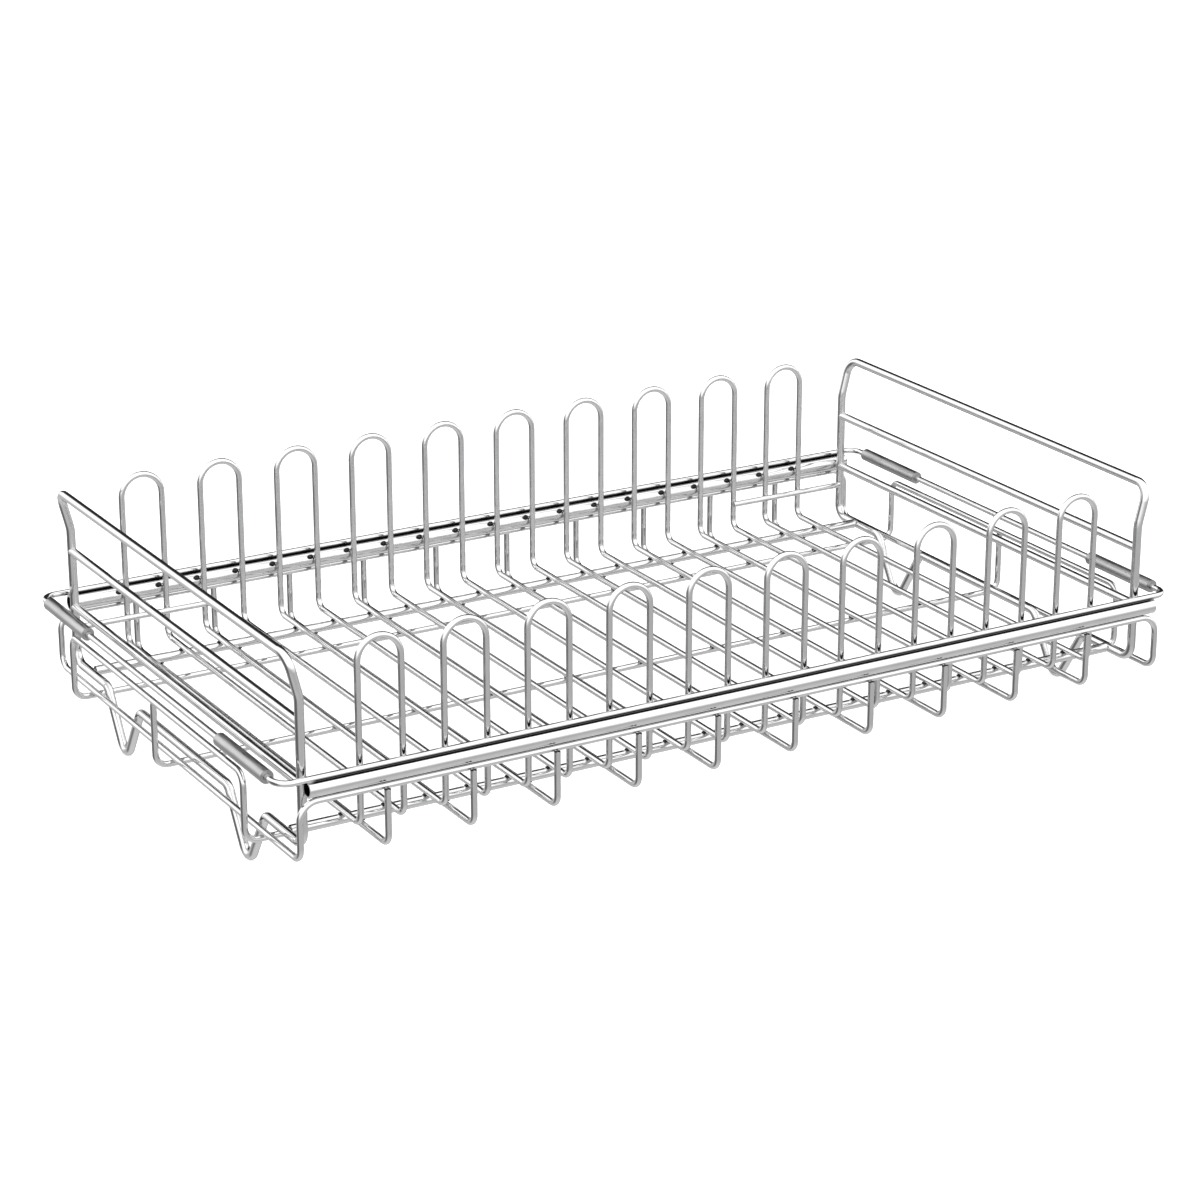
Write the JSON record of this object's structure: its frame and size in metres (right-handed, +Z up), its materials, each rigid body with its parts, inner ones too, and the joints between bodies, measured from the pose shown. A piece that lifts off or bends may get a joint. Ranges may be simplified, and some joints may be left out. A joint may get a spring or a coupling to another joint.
{
  "type": "dish drying rack",
  "caption": "Long low wire basket for drying dishes: upright plate hoops along both long sides, raised hand bars at the ends, tube rails, V-shaped feet.",
  "frame": {"origin": "on the ground at the centre of the footprint, level with the lowest points of the four V feet", "axes": "+X along the length towards the right end, +Y from front to back, +Z up"},
  "size_m": [0.5598, 0.3232, 0.139],
  "materials": {
    "wire_steel": "bright polished",
    "frame_steel": "bright polished",
    "rod_steel": "bright polished",
    "tube_steel": "bright polished, fine lengthwise polishing lines",
    "sleeve_steel": "bright polished"
  },
  "bodies": {
    "root": {"cross_wire_01": "wire_steel", "cross_wire_02": "wire_steel", "cross_wire_03": "wire_steel", "cross_wire_04": "wire_steel", "cross_wire_05": "wire_steel", "cross_wire_06": "wire_steel", "cross_wire_07": "wire_steel", "cross_wire_08": "wire_steel", "cross_wire_09": "wire_steel", "cross_wire_10": "wire_steel", "crossbar_left_lower": "frame_steel", "crossbar_left_upper": "frame_steel", "crossbar_right_lower": "frame_steel", "crossbar_right_upper": "frame_steel", "end_frame_left": "frame_steel", "end_frame_right": "frame_steel", "floor_rod_back": "rod_steel", "floor_rod_front": "rod_steel", "lengthwise_ring": "wire_steel", "middle_wire": "wire_steel", "outline_ring": "wire_steel", "plate_loop_01": "wire_steel", "plate_loop_02": "wire_steel", "plate_loop_03": "wire_steel", "plate_loop_04": "wire_steel", "plate_loop_05": "wire_steel", "plate_loop_06": "wire_steel", "plate_loop_07": "wire_steel", "plate_loop_08": "wire_steel", "plate_loop_09": "wire_steel", "plate_loop_10": "wire_steel", "rail_tube_back": "tube_steel", "rail_tube_front": "tube_steel", "rim_ring": "wire_steel", "rim_sleeve_left_back": "sleeve_steel", "rim_sleeve_left_front": "sleeve_steel", "rim_sleeve_right_back": "sleeve_steel", "rim_sleeve_right_front": "sleeve_steel", "stub_bar_left": "wire_steel", "stub_bar_right": "wire_steel"}
  },
  "joints": []
}
